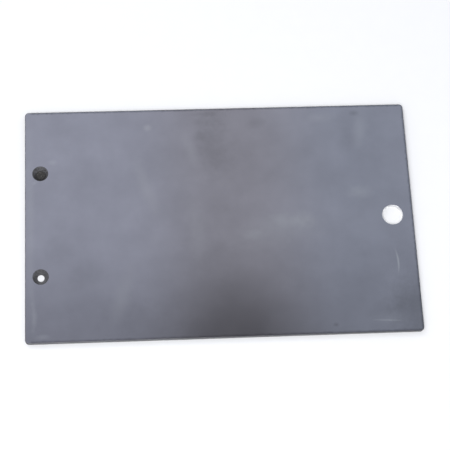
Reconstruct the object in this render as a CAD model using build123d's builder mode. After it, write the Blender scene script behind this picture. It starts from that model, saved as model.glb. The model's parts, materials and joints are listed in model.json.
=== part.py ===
"""Rectangular steel cover plate, with countersunk fixing holes at one end and a lift hole at the other.

All sizes are in millimetres. The underside lies on Z = 0 and the origin is at its centre. +X runs along
the plate from the fixing holes to the lift hole, +Y across it, and +Z out of the face that shows.
"""

from build123d import *

import os

# Plate blank
plate_length = 400.0
plate_width = 250.0
plate_thickness = 5.0
corner_radius = 4.0

# Fixing holes, for M6 countersunk screws. The countersinks run almost through the plate, so the heads sit
# below the top face and each hole has only a thin land at the bottom
screw_hole_diameter = 7.0
countersink_diameter = 16.4
countersink_angle = 90.0
screw_spacing = 112.0
screw_end_distance = 15.7

# Lift hole, large enough for a finger or a pulling hook
lift_hole_diameter = 21.0
lift_hole_end_distance = 21.5

# Deburring
outline_deburr = 0.5
lift_hole_deburr = 0.3

# Places worked out from the sizes above
screw_x = screw_end_distance - plate_length / 2
lift_hole_x = plate_length / 2 - lift_hole_end_distance


def flat_faces(builder):
    """The underside and the top face, as they are now."""
    by_height = builder.faces().sort_by(Axis.Z)
    return by_height[0], by_height[-1]


with BuildPart() as cover_plate:
    # Blank with rounded corners
    with BuildSketch(Plane.XY) as blank:
        RectangleRounded(plate_length, plate_width, corner_radius)
    extrude(amount=plate_thickness)

    # Countersunk fixing holes, side by side across one end
    with Locations((screw_x, 0, plate_thickness)):
        with GridLocations(0, screw_spacing, 1, 2):
            CounterSinkHole(
                radius=screw_hole_diameter / 2,
                counter_sink_radius=countersink_diameter / 2,
                counter_sink_angle=countersink_angle,
            )

    # Plain lift hole in the middle of the other end
    with Locations((lift_hole_x, 0, plate_thickness)):
        Hole(radius=lift_hole_diameter / 2)

    # The arrises that cutting leaves round both faces are taken off
    underside, top_face = flat_faces(cover_plate)
    chamfer(underside.outer_wire().edges() + top_face.outer_wire().edges(), length=outline_deburr)

    # So are both rims of the lift hole, but not those of the fixing holes, whose lands are too thin
    lift_hole_rims = [face.inner_wires().sort_by(Axis.X)[-1] for face in flat_faces(cover_plate)]
    chamfer([edge for rim in lift_hole_rims for edge in rim.edges()], length=lift_hole_deburr)

cover_plate.part.label = "cover_plate"

os.makedirs("parts", exist_ok=True)
export_step(cover_plate.part, "parts/cover_plate.step")
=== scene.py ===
"""The looks of the rectangular cover plate: satin steel sheet, two countersunk screw holes and a lift hole.

Lengths are in metres, in the part's own frame: the underside lies on Z = 0, +X runs from the screw holes to
the lift hole, and +Y away from the viewer.
"""
import json
import math

import bmesh
import bpy
from mathutils import Euler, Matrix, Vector, noise


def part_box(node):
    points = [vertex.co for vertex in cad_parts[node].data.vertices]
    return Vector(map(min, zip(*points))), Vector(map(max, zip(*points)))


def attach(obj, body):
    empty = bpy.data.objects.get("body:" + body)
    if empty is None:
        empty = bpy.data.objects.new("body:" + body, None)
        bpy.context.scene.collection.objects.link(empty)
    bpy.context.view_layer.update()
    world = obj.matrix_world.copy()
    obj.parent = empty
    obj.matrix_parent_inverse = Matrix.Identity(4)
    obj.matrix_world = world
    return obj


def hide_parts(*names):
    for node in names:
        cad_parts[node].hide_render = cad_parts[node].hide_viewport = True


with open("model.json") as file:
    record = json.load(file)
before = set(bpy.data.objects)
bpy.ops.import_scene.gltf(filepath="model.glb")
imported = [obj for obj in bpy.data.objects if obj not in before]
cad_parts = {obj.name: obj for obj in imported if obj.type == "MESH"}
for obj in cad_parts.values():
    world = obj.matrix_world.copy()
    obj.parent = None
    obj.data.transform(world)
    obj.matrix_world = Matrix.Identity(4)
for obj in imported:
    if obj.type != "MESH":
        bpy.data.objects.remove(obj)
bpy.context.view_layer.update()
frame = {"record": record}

MM = 0.001

# ---------------------------------------------------------------------------------------------------------
# Sizes: the outline and the holes come from the frame, and what the record has no word for is named here.

low_corner, high_corner = (Vector(corner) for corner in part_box("cover_plate"))
plate_length, plate_width, plate_thickness = high_corner - low_corner

mounts = {mount["name"]: mount for mount in frame["record"]["mounts"]}
screw_pattern = mounts["screw_holes"]
screw_x = screw_pattern["pos_m"][0]
screw_spacing = screw_pattern["dims"]["spacing_y_mm"] * MM
screw_bore = screw_pattern["dims"]["hole_r_mm"] * MM
lift_hole = mounts["lift_hole"]
lift_x = lift_hole["pos_m"][0]
lift_bore = lift_hole["dims"]["r_mm"] * MM

corner_radius = 4 * MM
arris_radius = 0.5 * MM
countersink_radius = 8.2 * MM
rim_break = 0.3 * MM
cone_depth = countersink_radius - screw_bore

corner_steps = 14
circle_steps = 96
arris_steps = 5
weld_distance = 0.01 * MM
flat_tilt = 0.99
sharp_from = math.radians(30)

# How fine a mark's frayed edge is, per metre, and where it ends as a share of the mark's half size
fray_scale = 120.0
mark_ends = 1.15

# Dried grime in the far screw hole
grime_bottom = 0.05 * MM
grime_gap = 0.03 * MM
grime_climb = 1.2 * MM
grime_dish = 0.6 * MM
grime_lump = 0.5 * MM
grime_lump_size = 1.6 * MM
grime_rings = 14
grime_spokes = 60


# ---------------------------------------------------------------------------------------------------------
# Node helpers


class Nodes:
    """Adds nodes to one tree. An input is either a value or another node's output, which is linked."""

    def __init__(self, tree):
        self.tree = tree

    def feed(self, socket, value):
        if isinstance(value, bpy.types.NodeSocket):
            self.tree.links.new(value, socket)
        else:
            socket.default_value = value

    def add(self, kind, inputs=None, **settings):
        node = self.tree.nodes.new(kind)
        for name, setting in settings.items():
            setattr(node, name, setting)
        for key, value in (inputs or {}).items():
            self.feed(node.inputs[key], value)
        return node

    def math(self, operation, first, second=0.0, third=0.0):
        inputs = {0: first, 1: second, 2: third}
        return self.add("ShaderNodeMath", inputs, operation=operation).outputs["Value"]

    def vector(self, operation, first, second=(0.0, 0.0, 0.0)):
        inputs = {0: first, 1: second}
        node = self.add("ShaderNodeVectorMath", inputs, operation=operation)
        return node.outputs["Value" if operation in ("LENGTH", "DOT_PRODUCT") else "Vector"]

    def scaled(self, vector, factor):
        node = self.add("ShaderNodeVectorMath", {0: vector, "Scale": factor}, operation="SCALE")
        return node.outputs["Vector"]

    def xyz(self, x=0.0, y=0.0, z=0.0):
        return self.add("ShaderNodeCombineXYZ", {"X": x, "Y": y, "Z": z}).outputs["Vector"]

    def parts(self, vector):
        node = self.add("ShaderNodeSeparateXYZ", {"Vector": vector})
        return node.outputs["X"], node.outputs["Y"], node.outputs["Z"]

    def ramp(self, value, start, end, low=0.0, high=1.0):
        """A smooth step from low at start to high at end."""
        inputs = {"Value": value, "From Min": start, "From Max": end, "To Min": low, "To Max": high}
        return self.add("ShaderNodeMapRange", inputs, interpolation_type="SMOOTHSTEP").outputs["Result"]

    def grain(self, vector, scale, detail=2.0, roughness=0.5):
        """Noise from 0 to 1."""
        inputs = {"Vector": vector, "Scale": scale, "Detail": detail, "Roughness": roughness}
        return self.add("ShaderNodeTexNoise", inputs).outputs["Fac"]

    def tint(self, factor, first, second, blend="MIX"):
        """Mixes two colours."""
        node = self.add("ShaderNodeMix", data_type="RGBA", blend_type=blend)
        for name, value in (("Factor_Float", factor), ("A_Color", first), ("B_Color", second)):
            self.feed(next(s for s in node.inputs if s.identifier == name), value)
        return next(s for s in node.outputs if s.identifier == "Result_Color")


def new_group(name, kind, inputs, outputs):
    """An empty node group with named sockets, as (group, its Nodes, its input node, its output node)."""
    group = bpy.data.node_groups.new(name, kind)
    for socket_name, socket_type, value in inputs:
        socket = group.interface.new_socket(name=socket_name, in_out="INPUT", socket_type=socket_type)
        if value is not None:
            socket.default_value = value
    for socket_name, socket_type in outputs:
        group.interface.new_socket(name=socket_name, in_out="OUTPUT", socket_type=socket_type)
    nodes = Nodes(group)
    return group, nodes, nodes.add("NodeGroupInput"), nodes.add("NodeGroupOutput")


FLOAT = "NodeSocketFloat"
VECTOR = "NodeSocketVector"
COLOUR = "NodeSocketColor"


# ---------------------------------------------------------------------------------------------------------
# The plate's form


def quarter_round(steps):
    """(outward, down) shares of a rounded edge's radius, from the flat face to the wall."""
    turns = [math.radians(90) * step / steps for step in range(steps + 1)]
    for start, end in zip(turns, turns[1:]):
        yield math.sin(end) - math.sin(start), math.cos(start) - math.cos(end)


def plate_tree():
    """The tree that makes the plate from its sizes: two flat faces, and the walls that are drawn down between
    their edges and holes."""
    sizes = (
        ("Length", plate_length),
        ("Width", plate_width),
        ("Thickness", plate_thickness),
        ("Corner Radius", corner_radius),
        ("Arris Radius", arris_radius),
        ("Screw Hole X", screw_x),
        ("Screw Hole Spacing", screw_spacing),
        ("Screw Bore Radius", screw_bore),
        ("Countersink Radius", countersink_radius),
        ("Lift Hole X", lift_x),
        ("Lift Hole Radius", lift_bore),
        ("Rim Break", rim_break),
    )
    inputs = [(name, FLOAT, value) for name, value in sizes]
    inputs += [(name, "NodeSocketMaterial", None) for name in ("Face Finish", "Edge Finish", "Hole Finish")]
    tree, nodes, given, result = new_group(
        "Cover plate from its sizes", "GeometryNodeTree", inputs, [("Geometry", "NodeSocketGeometry")]
    )
    size = given.outputs

    def less(first, *others):
        for other in others:
            first = nodes.math("SUBTRACT", first, other)
        return first

    def times(first, second):
        return nodes.math("MULTIPLY", first, second)

    def placed(geometry, x=0.0, y=0.0, z=0.0):
        moved = {"Geometry": geometry, "Translation": nodes.xyz(x, y, z)}
        return nodes.add("GeometryNodeTransform", moved).outputs["Geometry"]

    def joined(*geometries):
        join = nodes.add("GeometryNodeJoinGeometry")
        for geometry in geometries:
            tree.links.new(geometry, join.inputs["Geometry"])
        return join.outputs["Geometry"]

    def circle(radius, x, y):
        ring = {"Resolution": circle_steps, "Radius": radius}
        return placed(nodes.add("GeometryNodeCurvePrimitiveCircle", ring).outputs["Curve"], x, y)

    def outline(inset):
        """The plate's rounded outline, moved in by inset."""
        across = times(inset, 2.0)
        sides = {"Width": less(size["Length"], across), "Height": less(size["Width"], across)}
        rectangle = nodes.add("GeometryNodeCurvePrimitiveQuadrilateral", sides)
        corners = {
            "Curve": rectangle.outputs["Curve"],
            "Radius": less(size["Corner Radius"], inset),
            "Count": corner_steps,
        }
        return nodes.add("GeometryNodeFilletCurve", corners, mode="POLY").outputs["Curve"]

    def flat_face(*loops):
        return nodes.add("GeometryNodeFillCurve", {"Curve": joined(*loops)}, mode="TRIANGLES").outputs["Mesh"]

    def flipped(mesh):
        return nodes.add("GeometryNodeFlipFaces", {"Mesh": mesh}).outputs["Mesh"]

    def wall(loop, outwards, steps):
        """The strip that a loop of the top face leaves as it's drawn along steps of (out, down) lengths."""
        raised = placed(loop, z=size["Thickness"])
        mesh = nodes.add("GeometryNodeCurveToMesh", {"Curve": raised}).outputs["Mesh"]
        edges = True
        for out, down in steps:
            away = nodes.vector("ADD", nodes.scaled(outwards, out), nodes.xyz(z=times(down, -1.0)))
            pull = {"Mesh": mesh, "Selection": edges, "Offset": away, "Offset Scale": 1.0}
            drawn = nodes.add("GeometryNodeExtrudeMesh", pull, mode="EDGES")
            mesh = drawn.outputs["Mesh"]
            edges = drawn.outputs["Top"]
        return mesh

    def from_face(radius, side):
        """Steps round an edge, from the top face to the wall. side is 1 on the outline and -1 in a hole."""
        return [(times(radius, side * out), times(radius, down)) for out, down in quarter_round(arris_steps)]

    def to_face(radius, side):
        """Steps round an edge, from the wall to the underside."""
        arc = list(quarter_round(arris_steps))
        return [(times(radius, -side * out), times(radius, down)) for out, down in reversed(arc)]

    spot = nodes.add("GeometryNodeInputPosition").outputs["Position"]
    spot_x, spot_y, _ = nodes.parts(spot)
    arris = size["Arris Radius"]
    rim = size["Rim Break"]
    top = size["Thickness"]
    row_y = times(size["Screw Hole Spacing"], 0.5)
    cone = less(size["Countersink Radius"], size["Screw Bore Radius"])
    lift_rim = nodes.math("ADD", size["Lift Hole Radius"], rim)

    # Out of the outline: away from the nearest point of the rectangle between the corners' centres
    reach = nodes.xyz(
        less(times(size["Length"], 0.5), size["Corner Radius"]),
        less(times(size["Width"], 0.5), size["Corner Radius"]),
    )
    nearest = nodes.vector("MINIMUM", nodes.vector("MAXIMUM", spot, nodes.scaled(reach, -1.0)), reach)
    apart = nodes.vector("MULTIPLY", nodes.vector("SUBTRACT", spot, nearest), (1.0, 1.0, 0.0))
    off_outline = nodes.vector("NORMALIZE", apart)

    # Away from the middle of the hole that is on the same side of the plate
    from_screw = nodes.xyz(less(spot_x, size["Screw Hole X"]), less(nodes.math("ABSOLUTE", spot_y), row_y))
    turned = nodes.xyz(1.0, nodes.math("SIGN", spot_y), 1.0)
    off_screw = nodes.vector("NORMALIZE", nodes.vector("MULTIPLY", from_screw, turned))
    from_lift = nodes.xyz(less(spot_x, size["Lift Hole X"]), spot_y)
    off_lift = nodes.vector("NORMALIZE", from_lift)

    def screw_circles(radius):
        return [circle(radius, size["Screw Hole X"], y) for y in (row_y, times(row_y, -1.0))]

    edge_loop = outline(arris)
    countersinks = screw_circles(size["Countersink Radius"])
    lift_loop = circle(lift_rim, size["Lift Hole X"], 0.0)
    top_face = placed(flat_face(edge_loop, *countersinks, lift_loop), z=top)
    underside = flipped(flat_face(edge_loop, *screw_circles(size["Screw Bore Radius"]), lift_loop))
    edge_wall = wall(
        edge_loop, off_outline, [*from_face(arris, 1), (0.0, less(top, arris, arris)), *to_face(arris, 1)]
    )
    screw_wall = wall(joined(*countersinks), off_screw, [(times(cone, -1.0), cone), (0.0, less(top, cone))])
    lift_wall = wall(
        lift_loop, off_lift, [*from_face(rim, -1), (0.0, less(top, rim, rim)), *to_face(rim, -1)]
    )

    body = joined(top_face, underside, edge_wall, flipped(screw_wall), flipped(lift_wall))
    weld = {"Geometry": body, "Distance": weld_distance}
    welded = nodes.add("GeometryNodeMergeByDistance", weld).outputs["Geometry"]
    plate = nodes.add("GeometryNodeRealizeInstances", {"Geometry": welded}).outputs["Geometry"]

    # The outline's walls keep the first finish; the holes' walls and the flat faces then get theirs
    _, _, tilt = nodes.parts(nodes.add("GeometryNodeInputNormal").outputs["Normal"])
    is_flat = nodes.math("GREATER_THAN", nodes.math("ABSOLUTE", tilt), flat_tilt)
    by_screw = nodes.math("LESS_THAN", nodes.vector("LENGTH", from_screw), size["Countersink Radius"])
    by_lift = nodes.math("LESS_THAN", nodes.vector("LENGTH", from_lift), lift_rim)
    in_hole = nodes.math("MAXIMUM", by_screw, by_lift)
    for finish, chosen in (("Edge Finish", True), ("Hole Finish", in_hole), ("Face Finish", is_flat)):
        wear = {"Geometry": plate, "Selection": chosen, "Material": size[finish]}
        plate = nodes.add("GeometryNodeSetMaterial", wear).outputs["Geometry"]
    tree.links.new(plate, result.inputs["Geometry"])
    return tree


def make_plate(face_finish, edge_finish, hole_finish):
    """The plate as a plain mesh, which stands for the frame's own."""
    tree = plate_tree()
    maker = bpy.data.objects.new("plate_maker", bpy.data.meshes.new("plate_maker"))
    bpy.context.scene.collection.objects.link(maker)
    modifier = maker.modifiers.new("Cover plate", "NODES")
    modifier.node_group = tree
    sockets = {item.name: item.identifier for item in tree.interface.items_tree if item.in_out == "INPUT"}
    modifier[sockets["Face Finish"]] = face_finish
    modifier[sockets["Edge Finish"]] = edge_finish
    modifier[sockets["Hole Finish"]] = hole_finish
    shown = maker.evaluated_get(bpy.context.evaluated_depsgraph_get())
    mesh = bpy.data.meshes.new_from_object(shown)
    mesh.name = "plate"
    # The mesh that the tree starts from leaves an empty first slot
    if mesh.materials[0] is None:
        mesh.materials.pop(index=0)
    mesh.set_sharp_from_angle(angle=sharp_from)
    # The flat faces are shaded flat, or the rounded edges' tilt would spread over their long triangles
    for polygon in mesh.polygons:
        polygon.use_smooth = abs(polygon.normal.z) < flat_tilt
    bpy.data.objects.remove(maker)
    plate = bpy.data.objects.new("plate", mesh)
    bpy.context.scene.collection.objects.link(plate)
    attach(plate, "root")
    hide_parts("cover_plate")
    return plate


def make_grime(finish):
    """Dried grease and dirt, packed in the far screw hole up to a little above the foot of its cone."""
    centre = Vector((screw_x, screw_spacing / 2, 0.0))
    foot = plate_thickness - cone_depth
    mesh = bpy.data.meshes.new("packed_grime")
    grime = bmesh.new()

    def ring(radius, height):
        """A loop of points, or the one point in the middle. height is a number or a function of the share."""
        turns = [math.tau * spoke / grime_spokes for spoke in range(grime_spokes)] if radius else [0.0]
        points = [centre + Vector((radius * math.cos(turn), radius * math.sin(turn), 0.0)) for turn in turns]
        return [grime.verts.new(point + Vector((0.0, 0.0, height(point)))) for point in points]

    def surface(share):
        """The height of the grime's top: dished, and lumpy away from the wall."""
        level = foot + grime_climb - grime_dish * (1 - share**2)

        def height(point):
            lump = noise.noise(point / grime_lump_size) * grime_lump
            return level + lump * (1 - share**4)

        return height

    def fixed(level):
        return lambda point: level

    wall = screw_bore - grime_gap
    rim = wall + grime_climb
    loops = [ring(0.0, fixed(grime_bottom)), ring(wall, fixed(grime_bottom)), ring(wall, fixed(foot))]
    shares = [step / grime_rings for step in range(grime_rings, -1, -1)]
    loops += [ring(rim * share, surface(share)) for share in shares]
    for lower, upper in zip(loops, loops[1:]):
        for spoke in range(grime_spokes):
            after = (spoke + 1) % grime_spokes
            corners = [lower[spoke % len(lower)], lower[after % len(lower)]]
            corners += [upper[after % len(upper)], upper[spoke % len(upper)]]
            grime.faces.new(list(dict.fromkeys(corners))).smooth = True
    bmesh.ops.recalc_face_normals(grime, faces=grime.faces)
    grime.to_mesh(mesh)
    grime.free()
    mesh.materials.append(finish)
    mesh.set_sharp_from_angle(angle=sharp_from)
    packed = bpy.data.objects.new("packed_grime", mesh)
    bpy.context.scene.collection.objects.link(packed)
    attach(packed, "root")
    return packed


# ---------------------------------------------------------------------------------------------------------
# Effects that the finishes share


def rub_mark_group():
    """A soft mark on the top face, as a mask: long or round, straight or bent, and frayed at its edges."""
    group, nodes, given, result = new_group(
        "Rub mark",
        "ShaderNodeTree",
        [
            ("Vector", VECTOR, None),
            ("Centre", VECTOR, None),
            ("Turn", FLOAT, 0.0),
            ("Length", FLOAT, 20 * MM),
            ("Width", FLOAT, 5 * MM),
            ("Bend", FLOAT, 0.0),
            ("Fray", FLOAT, 0.3),
        ],
        [("Mask", FLOAT)],
    )
    mark = given.outputs
    from_centre = nodes.vector("SUBTRACT", mark["Vector"], mark["Centre"])
    back = {"Vector": from_centre, "Angle": nodes.math("MULTIPLY", mark["Turn"], -1.0)}
    x, y, z = nodes.parts(nodes.add("ShaderNodeVectorRotate", back, rotation_type="Z_AXIS").outputs["Vector"])
    along = nodes.math("DIVIDE", x, nodes.math("MULTIPLY", mark["Length"], 0.5))
    bent_by = nodes.math("MULTIPLY", mark["Bend"], nodes.math("POWER", along, 2.0))
    straight = nodes.math("SUBTRACT", y, bent_by)
    across = nodes.math("DIVIDE", straight, nodes.math("MULTIPLY", mark["Width"], 0.5))
    distance = nodes.vector("LENGTH", nodes.xyz(along, across))
    ragged = nodes.math("SUBTRACT", nodes.grain(mark["Vector"], fray_scale, 3.0, 0.6), 0.5)
    moved = nodes.math("MULTIPLY", nodes.math("MULTIPLY", ragged, mark["Fray"]), 2.0)
    frayed = nodes.math("ADD", distance, moved)
    mask = nodes.ramp(frayed, 0.0, mark_ends, 1.0, 0.0)
    upper = nodes.math("GREATER_THAN", nodes.parts(mark["Vector"])[2], plate_thickness / 2)
    nodes.tree.links.new(nodes.math("MULTIPLY", mask, upper), result.inputs["Mask"])
    return group


def steel_tone_group():
    """The steel's own colour, lighter and darker in broad clouds and fine specks."""
    group, nodes, given, result = new_group(
        "Steel tone",
        "ShaderNodeTree",
        [("Vector", VECTOR, None), ("Colour", COLOUR, (0.35, 0.36, 0.39, 1.0)), ("Variation", FLOAT, 0.1)],
        [("Colour", COLOUR), ("Clouds", FLOAT)],
    )
    tone = given.outputs
    # The two faces lie close together, so Z is stretched to keep their patterns apart
    spread = nodes.vector("MULTIPLY", tone["Vector"], (1.0, 1.0, 30.0))
    clouds = nodes.grain(spread, 9.0, 3.0, 0.55)
    blotches = nodes.grain(spread, 34.0, 4.0, 0.6)
    specks = nodes.grain(spread, 900.0, 2.0, 0.5)
    mixed = nodes.math("ADD", nodes.math("MULTIPLY", clouds, 0.54), nodes.math("MULTIPLY", blotches, 0.38))
    mixed = nodes.math("ADD", mixed, nodes.math("MULTIPLY", specks, 0.08))
    centred = nodes.math("MULTIPLY", nodes.math("SUBTRACT", mixed, 0.5), 4.0)
    light = nodes.math("ADD", 1.0, nodes.math("MULTIPLY", centred, tone["Variation"]))
    grey = nodes.add("ShaderNodeCombineColor", {"Red": light, "Green": light, "Blue": light})
    shade = nodes.tint(1.0, tone["Colour"], grey.outputs["Color"], "MULTIPLY")
    nodes.tree.links.new(shade, result.inputs["Colour"])
    nodes.tree.links.new(clouds, result.inputs["Clouds"])
    return group


def rolled_grain_group():
    """The fine grain that rolling leaves along the sheet and its slow waves, as heights in metres."""
    group, nodes, given, result = new_group(
        "Rolled grain",
        "ShaderNodeTree",
        [("Vector", VECTOR, None), ("Grain Height", FLOAT, 0.002 * MM), ("Wave Height", FLOAT, 0.05 * MM)],
        [("Height", FLOAT)],
    )
    grain = given.outputs
    drawn_out = nodes.vector("MULTIPLY", grain["Vector"], (0.12, 1.0, 8.0))
    streaks = nodes.grain(drawn_out, 2200.0, 4.0, 0.6)
    waves = nodes.grain(grain["Vector"], 14.0, 1.0, 0.4)
    fine = nodes.math("MULTIPLY", streaks, grain["Grain Height"])
    slow = nodes.math("MULTIPLY", waves, grain["Wave Height"])
    nodes.tree.links.new(nodes.math("ADD", fine, slow), result.inputs["Height"])
    return group


def edge_wear_group():
    """A mask that is 1 along the plate's outline and fades inwards, ragged: the cut edge's handling wear, and
    the darker band along the top face's edges.
    """
    group, nodes, given, result = new_group(
        "Edge wear",
        "ShaderNodeTree",
        [
            ("Vector", VECTOR, None),
            ("Half Length", FLOAT, 0.2),
            ("Half Width", FLOAT, 0.1),
            ("Reach", FLOAT, 2 * MM),
            ("Ragged", FLOAT, 0.5),
        ],
        [("Mask", FLOAT)],
    )
    wear = given.outputs
    x, y, _ = nodes.parts(wear["Vector"])
    in_x = nodes.math("SUBTRACT", wear["Half Length"], nodes.math("ABSOLUTE", x))
    in_y = nodes.math("SUBTRACT", wear["Half Width"], nodes.math("ABSOLUTE", y))
    inwards = nodes.math("DIVIDE", nodes.math("MINIMUM", in_x, in_y), wear["Reach"])
    ragged = nodes.math("SUBTRACT", nodes.grain(wear["Vector"], 260.0, 4.0, 0.65), 0.5)
    raggedness = nodes.math("MULTIPLY", ragged, nodes.math("MULTIPLY", wear["Ragged"], 4.0))
    moved = nodes.math("ADD", inwards, raggedness)
    nodes.tree.links.new(nodes.ramp(moved, 0.0, 1.0, 1.0, 0.0), result.inputs["Mask"])
    return group


# ---------------------------------------------------------------------------------------------------------
# Finishes

steel_colour = (0.366, 0.364, 0.398, 1.0)
# Painted shade: the outline's walls are kept nearly black
shaded_edge_colour = (0.08, 0.08, 0.087, 1.0)
# Painted shade in the screw holes, and painted light on the lift hole's wall
shaded_countersink_colour = (0.17, 0.17, 0.178, 1.0)
lit_lift_wall_colour = (0.78, 0.78, 0.79, 1.0)
settled_grime = (0.06, 0.055, 0.05, 1.0)
pale_rub = (0.50, 0.505, 0.52, 1.0)
# The dark of the stains, also used for the painted shade and painted reflection marks and for the shear's
# break
stain_and_shade_dark = (0.22, 0.22, 0.235, 1.0)
# The dark of the band along the top face's far, right and near edges
border_dark = (0.15, 0.15, 0.165, 1.0)
bright_wear = (0.52, 0.525, 0.545, 1.0)

blackest_grime = (0.008, 0.0075, 0.007, 1.0)
palest_grime = (0.03, 0.028, 0.026, 1.0)
grit_grain = (0.22, 0.21, 0.19, 1.0)
paper_shade = (0.86, 0.86, 0.86, 1.0)
paper_white = (0.88, 0.88, 0.88, 1.0)

steel_smoothest = 0.075
steel_cloudiness = 0.05
rub_dulling = 0.12
border_strength = 0.8
border_reach = 3.2 * MM
left_edge_fade = (3 * MM, 8 * MM)
break_strength = 0.45
arris_shine = 0.12
near_grime = 0.5
more_grime_far = 0.45

# Marks on the top face, in millimetres and degrees: place, turn, length, width, bend, fray and strength
PALE_MARKS = (
    ("curved scratch", 180, -51, 92, 32, 3.0, 2.5, 0.1, 1.0),
    ("thin line", 165, -113, -3, 40, 2.4, 0.0, 0.1, 0.65),
    ("light patch by the thin line", 168, -110, 0, 50, 18, 0.0, 0.4, 0.2),
    ("streak at the far right", 152, 97, 85, 52, 20, 1.0, 0.4, 0.28),
    ("light spot at the far left", -72, 105, 0, 12, 10, 0.0, 0.3, 0.5),
    ("long bent streak", -76, 38, -71, 80, 20, 3.0, 0.3, 0.28),
    ("streak by the centre", -28, 78, -72, 52, 16, 0.0, 0.3, 0.24),
    ("centre rub", -25, -10, 94, 95, 24, 2.0, 0.5, 0.2),
    ("pale patch", 66, -3, 0, 38, 20, 1.0, 0.4, 0.38),
    ("pale patch", 86, -3, 10, 36, 22, 0.0, 0.4, 0.36),
    ("pale patch", 33, -17, 0, 30, 16, 0.0, 0.4, 0.28),
    ("pale band", 58, -13, 10, 120, 42, -3.0, 0.5, 0.28),
    ("pale patch", 112, 112, 5, 40, 14, 0.0, 0.4, 0.22),
    ("pale patch", 147, 26, 0, 34, 18, 0.0, 0.4, 0.38),
    ("corner marks", -183, -119, 5, 20, 7, 0.0, 0.4, 0.35),
    ("wavy rub", -191, -97, 90, 46, 7, 1.5, 0.5, 0.4),
    ("slanting streak", -103, -80, 72, 80, 22, 0.0, 0.3, 0.28),
    ("strip along the left edge", -195, 0, 90, 250, 12, 0.0, 0.4, 0.3),
    ("light spot by the far hole", -172, 68, 0, 11, 8, 0.0, 0.4, 0.35),
    ("light spot by the far hole", -190, 46, 40, 10, 6, 0.0, 0.4, 0.3),
)
# Dark marks: smudges and blotches, with painted reflection and painted shade among them. The band from the
# far edge is a painted reflection, and the shades in the near right corner and at the near edge are painted
# shade
DARK_MARKS = (
    ("small spot", 111, -116, 0, 7, 5, 0.0, 0.2, 0.55),
    ("spot at the far edge", 147, 116, 0, 14, 8, 0.0, 0.3, 0.45),
    ("smudge", 42, 108, 20, 30, 15, 0.0, 0.5, 0.25),
    # The patch at the far right only darkens the colour; it leaves the roughness as it is
    ("darker patch at the far right", 138, 92, 85, 54, 24, 0.0, 0.5, 0.16),
    ("blotch", -15, 109, 0, 26, 18, 0.0, 0.5, 0.28),
    ("blotch", -19, 94, 30, 20, 14, 0.0, 0.5, 0.25),
    ("dark far edge", -11, 119, 0, 44, 9, 0.0, 0.4, 0.35),
    ("painted reflection band from the far edge", -4, 82, 88, 90, 42, 0.0, 0.6, 0.34),
    ("blotch at the left", -165, -28, 0, 52, 36, 0.0, 0.6, 0.16),
    ("blotch at the left", -137, -55, 40, 48, 34, 0.0, 0.6, 0.16),
    ("blotch at the near right", 162, -102, 10, 52, 22, 0.0, 0.5, 0.18),
    ("shade in the near right corner", 192, -98, 90, 84, 60, 0.0, 0.4, 0.6),
    ("shade at the near edge", -75, -110, 0, 90, 60, 0.0, 0.5, 0.25),
)


def new_material(name):
    """An empty material, as (material, its Nodes, its shader, Object coordinates)."""
    material = bpy.data.materials.new(name)
    material.use_nodes = True
    material.node_tree.nodes.clear()
    nodes = Nodes(material.node_tree)
    shader = nodes.add("ShaderNodeBsdfPrincipled")
    output = nodes.add("ShaderNodeOutputMaterial")
    material.node_tree.links.new(shader.outputs["BSDF"], output.inputs["Surface"])
    spot = nodes.add("ShaderNodeTexCoord").outputs["Object"]
    return material, nodes, shader, spot


def use(nodes, group, **inputs):
    """The outputs of a shader group, placed in a material with its own values."""
    node = nodes.add("ShaderNodeGroup", node_tree=group)
    for name, value in inputs.items():
        nodes.feed(node.inputs[name.replace("_", " ")], value)
    return node.outputs


def bumped(nodes, shader, height):
    bump = nodes.add("ShaderNodeBump", {"Strength": 1.0, "Distance": 1.0, "Height": height})
    nodes.feed(shader.inputs["Normal"], bump.outputs["Normal"])


def sheet_steel(tone, grain, rub, wear):
    """The plate's two faces: bluish grey sheet, satin, with smudges, rubs and a few light scratches, a darker
    band along most edges, and painted reflection and painted shade among the dark marks.
    """
    material, nodes, shader, spot = new_material("sheet_steel")
    steel = use(nodes, tone, Vector=spot, Colour=steel_colour, Variation=0.15)
    surface = use(nodes, grain, Vector=spot, Grain_Height=0.0006 * MM, Wave_Height=0.02 * MM)

    def gathered(marks):
        """The marks' masks, each times its strength, added up."""
        total = 0.0
        for _, x, y, turn, length, width, bend, fray, strength in marks:
            mark = use(
                nodes,
                rub,
                Vector=spot,
                Centre=(x * MM, y * MM, 0.0),
                Turn=math.radians(turn),
                Length=length * MM,
                Width=width * MM,
                Bend=bend * MM,
                Fray=fray,
            )
            total = nodes.math("MULTIPLY_ADD", mark["Mask"], strength, total)
        return total

    pale = gathered(PALE_MARKS)
    dark = gathered(DARK_MARKS)
    edge_band = use(
        nodes,
        wear,
        Vector=spot,
        Half_Length=plate_length / 2,
        Half_Width=plate_width / 2,
        Reach=border_reach,
        Ragged=0.25,
    )
    colour = nodes.tint(pale, steel["Colour"], pale_rub)
    # The dark marks: stains, with painted reflection and painted shade among them
    colour = nodes.tint(dark, colour, stain_and_shade_dark)
    # Darker along the far, right and near edges; the band fades out along the left edge
    from_left = nodes.math("ADD", nodes.parts(spot)[0], plate_length / 2)
    edge_darkening = nodes.math("MULTIPLY", edge_band["Mask"], nodes.ramp(from_left, *left_edge_fade))
    colour = nodes.tint(nodes.math("MULTIPLY", edge_darkening, border_strength), colour, border_dark)
    roughness = nodes.math("MULTIPLY_ADD", steel["Clouds"], steel_cloudiness, steel_smoothest)
    roughness = nodes.math("MULTIPLY_ADD", pale, rub_dulling, roughness)
    nodes.feed(shader.inputs["Base Color"], colour)
    nodes.feed(shader.inputs["Roughness"], roughness)
    shader.inputs["Metallic"].default_value = 1.0
    bumped(nodes, shader, surface["Height"])
    return material


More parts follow.
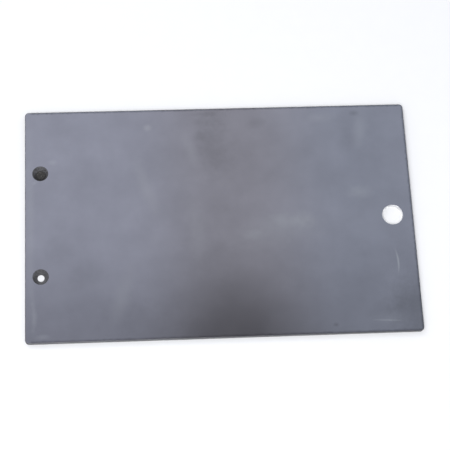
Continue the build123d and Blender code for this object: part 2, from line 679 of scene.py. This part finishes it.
def cut_steel(tone, wear):
    """The cut outline: rougher, with fine upright marks from the shear, and kept nearly black as painted
    shade.
    """
    material, nodes, shader, spot = new_material("cut_steel")
    steel = use(nodes, tone, Vector=spot, Colour=shaded_edge_colour, Variation=0.12)
    edge_band = use(
        nodes,
        wear,
        Vector=spot,
        Half_Length=plate_length / 2,
        Half_Width=plate_width / 2,
        Reach=0.6 * MM,
        Ragged=0.5,
    )
    x, y, z = nodes.parts(spot)
    upright = nodes.xyz(x, y, nodes.math("MULTIPLY", z, 0.06))
    shear = nodes.grain(upright, 1400.0, 3.0, 0.6)
    # The shear's clean cut above, and the duller break below it
    uneven_height = nodes.math("ADD", z, nodes.math("MULTIPLY", shear, 1.2 * MM))
    broken = nodes.ramp(uneven_height, 1.6 * MM, 2.6 * MM, 1.0, 0.0)
    colour = nodes.tint(nodes.math("MULTIPLY", broken, break_strength), steel["Colour"], stain_and_shade_dark)
    colour = nodes.tint(nodes.math("MULTIPLY", edge_band["Mask"], arris_shine), colour, bright_wear)
    roughness = nodes.math("MULTIPLY_ADD", shear, 0.15, 0.27)
    nodes.feed(shader.inputs["Base Color"], colour)
    nodes.feed(shader.inputs["Roughness"], nodes.math("MULTIPLY_ADD", broken, 0.15, roughness))
    shader.inputs["Metallic"].default_value = 1.0
    bumped(nodes, shader, nodes.math("MULTIPLY", shear, 0.03 * MM))
    return material


def drilled_steel(tone):
    """The bores and countersinks: rings that the tools left, and grime that has settled in them. The screw
    holes' steel is darkened as painted shade, and the lift hole's wall is whitened as painted light.
    """
    material, nodes, shader, spot = new_material("drilled_steel")
    x, y, z = nodes.parts(spot)
    # Painted light and shade: the screw holes' steel is dark and the lift hole's wall is near white
    at_lift = nodes.math("GREATER_THAN", x, 0.0)
    lit_and_shaded_colour = nodes.tint(at_lift, shaded_countersink_colour, lit_lift_wall_colour)
    steel = use(nodes, tone, Vector=spot, Colour=lit_and_shaded_colour, Variation=0.14)
    across = nodes.math("SUBTRACT", nodes.math("ABSOLUTE", y), screw_spacing / 2)
    hole_x = nodes.math("SUBTRACT", x, nodes.math("MULTIPLY_ADD", at_lift, lift_x - screw_x, screw_x))
    hole_y = nodes.math("ADD", across, nodes.math("MULTIPLY", at_lift, nodes.math("SUBTRACT", y, across)))
    radius = nodes.vector("LENGTH", nodes.xyz(hole_x, hole_y))
    rings = nodes.grain(nodes.xyz(radius, z, nodes.math("MULTIPLY", x, 0.04)), 2600.0, 3.0, 0.6)
    patches = nodes.grain(spot, 500.0, 3.0, 0.6)
    grimy = nodes.ramp(patches, 0.45, 0.7)
    # The far screw hole holds the most grime, and the lift hole none
    at_far = nodes.math("GREATER_THAN", y, 0.0)
    amount = nodes.math("MULTIPLY_ADD", at_far, more_grime_far, near_grime)
    amount = nodes.math("MULTIPLY", amount, nodes.math("SUBTRACT", 1.0, at_lift))
    colour = nodes.tint(nodes.math("MULTIPLY", grimy, amount), steel["Colour"], settled_grime)
    nodes.feed(shader.inputs["Base Color"], colour)
    nodes.feed(shader.inputs["Roughness"], nodes.math("MULTIPLY_ADD", rings, 0.2, 0.3))
    shader.inputs["Metallic"].default_value = 1.0
    bumped(nodes, shader, nodes.math("MULTIPLY", rings, 0.02 * MM))
    return material


def dried_grime():
    """Brown-black grime with a few paler grains of grit."""
    material, nodes, shader, spot = new_material("dried_grime")
    lumps = nodes.grain(spot, 900.0, 4.0, 0.65)
    grit = nodes.ramp(nodes.grain(spot, 1300.0, 1.0, 0.5), 0.66, 0.72)
    colour = nodes.tint(lumps, blackest_grime, palest_grime)
    colour = nodes.tint(grit, colour, grit_grain)
    nodes.feed(shader.inputs["Base Color"], colour)
    nodes.feed(shader.inputs["Roughness"], nodes.math("MULTIPLY_ADD", lumps, -0.3, 0.8))
    shader.inputs["Metallic"].default_value = 0.0
    bumped(nodes, shader, nodes.math("MULTIPLY", lumps, 0.25 * MM))
    return material


def studio_paper():
    """The floor: matt white paper."""
    material, nodes, shader, spot = new_material("studio_paper")
    fibre = nodes.grain(spot, 60.0, 3.0, 0.5)
    nodes.feed(shader.inputs["Base Color"], nodes.tint(fibre, paper_shade, paper_white))
    nodes.feed(shader.inputs["Roughness"], nodes.math("MULTIPLY_ADD", fibre, 0.05, 0.9))
    shader.inputs["Specular IOR Level"].default_value = 0.1
    return material


# ---------------------------------------------------------------------------------------------------------
# Studio


# Metres, degrees, and millimetres for the lens
floor_reach = 8.0
camera_place = (-0.0860, -0.4893, 1.3544)
camera_turns = (19.822, -2.827, -2.777)
camera_lens = 111.85
sensor_width = 36.0


def make_floor():
    mesh = bpy.data.meshes.new("floor")
    sides = ((-1, -1), (1, -1), (1, 1), (-1, 1))
    corners = [(x * floor_reach, y * floor_reach, 0.0) for x, y in sides]
    mesh.from_pydata(corners, [], [(0, 1, 2, 3)])
    mesh.materials.append(studio_paper())
    floor = bpy.data.objects.new("floor", mesh)
    bpy.context.scene.collection.objects.link(floor)


def make_surroundings():
    """A pale room, by direction. The part of it that the steel mirrors is brightest on the left, duller on
    the right and greyer in the middle, where something dark stands, and it dims towards straight overhead."""
    world = bpy.data.worlds.new("studio")
    bpy.context.scene.world = world
    world.use_nodes = True
    world.node_tree.nodes.clear()
    nodes = Nodes(world.node_tree)
    lowest_rise = 0.05
    backdrop_white, backdrop_strength = (0.93, 0.93, 0.93, 1.0), 1.4
    towards_x, towards_y, up = nodes.parts(nodes.add("ShaderNodeTexCoord").outputs["Generated"])
    rise = nodes.math("MAXIMUM", up, lowest_rise)
    # How far across and how far back a ray has gone when it is one unit up
    across = nodes.math("DIVIDE", towards_x, rise)
    back = nodes.math("DIVIDE", towards_y, rise)

    # Past this slope from straight overhead the room is plain
    mirrored_reach = 0.8
    room_light = (0.66, 0.67, 0.70, 1.0)
    left_light = (0.717, 0.75, 0.853, 1.0)
    right_light = (0.611, 0.661, 0.759, 1.0)
    middle_light = (0.635, 0.635, 0.685, 1.0)
    dark_thing = (0.20, 0.194, 0.198, 1.0)

    middle_at = 0.074
    colour = nodes.tint(nodes.ramp(across, 0.02, 0.16), left_light, right_light)
    off_middle = nodes.math("SUBTRACT", across, middle_at)
    is_middle = nodes.ramp(nodes.math("ABSOLUTE", off_middle), 0.02, 0.075, 1.0, 0.0)
    colour = nodes.tint(is_middle, colour, middle_light)

    # The dark thing narrows upwards to a round top
    thing_half_width, thing_foot, thing_height = 0.064, 0.152, 0.165
    wide = nodes.math("DIVIDE", off_middle, thing_half_width)
    above_foot = nodes.math("MAXIMUM", nodes.math("SUBTRACT", back, thing_foot), 0.0)
    tall = nodes.math("DIVIDE", above_foot, thing_height)
    thing_distance = nodes.vector("LENGTH", nodes.xyz(wide, nodes.math("POWER", tall, 2.0)))
    is_thing = nodes.ramp(thing_distance, 0.5, 1.15, 1.0, 0.0)
    colour = nodes.tint(is_thing, colour, dark_thing)

    # It dims towards straight overhead, and less so on the right
    least = nodes.ramp(across, 0.09, 0.14, 0.66, 0.73)
    dimming = nodes.ramp(back, 0.26, 0.37, least, 1.0)
    grey = nodes.add("ShaderNodeCombineColor", {"Red": dimming, "Green": dimming, "Blue": dimming})
    colour = nodes.tint(1.0, colour, grey.outputs["Color"], "MULTIPLY")

    near_top = nodes.math("LESS_THAN", nodes.vector("LENGTH", nodes.xyz(across, back)), mirrored_reach)
    colour = nodes.tint(near_top, room_light, colour)
    lit = nodes.add("ShaderNodeBackground", {"Color": colour, "Strength": 1.0})
    seen = nodes.add("ShaderNodeBackground", {"Color": backdrop_white, "Strength": backdrop_strength})
    by_camera = nodes.add("ShaderNodeLightPath").outputs["Is Camera Ray"]
    mixed = nodes.add(
        "ShaderNodeMixShader", {0: by_camera, 1: lit.outputs["Background"], 2: seen.outputs["Background"]}
    )
    output = nodes.add("ShaderNodeOutputWorld")
    nodes.tree.links.new(mixed.outputs["Shader"], output.inputs["Surface"])


def make_lamp(name, place, power, size):
    """A soft square lamp that faces the middle of the plate."""
    light = bpy.data.lights.new(name, "AREA")
    light.shape = "SQUARE"
    light.size = size
    light.energy = power
    lamp = bpy.data.objects.new(name, light)
    bpy.context.scene.collection.objects.link(lamp)
    lamp.location = place
    lamp.rotation_euler = Vector(place).to_track_quat("Z", "Y").to_euler()


def make_camera():
    camera = bpy.data.cameras.new("camera")
    camera.lens = camera_lens
    camera.sensor_width = sensor_width
    camera.clip_start = 0.05
    camera.clip_end = 40.0
    holder = bpy.data.objects.new("camera", camera)
    bpy.context.scene.collection.objects.link(holder)
    holder.location = camera_place
    holder.rotation_euler = Euler([math.radians(turn) for turn in camera_turns])
    bpy.context.scene.camera = holder


bpy.context.scene.view_settings.view_transform = "Standard"

steel_tone = steel_tone_group()
rolled_grain = rolled_grain_group()
rub_mark = rub_mark_group()
edge_wear = edge_wear_group()

plate = make_plate(
    sheet_steel(steel_tone, rolled_grain, rub_mark, edge_wear),
    cut_steel(steel_tone, edge_wear),
    drilled_steel(steel_tone),
)
make_grime(dried_grime())
make_floor()
make_surroundings()
make_lamp("key_lamp", (-0.5, -1.1, 2.4), 44.0, 1.3)
make_lamp("back_lamp", (-1.3, 1.5, 1.7), 8.0, 0.8)
make_camera()
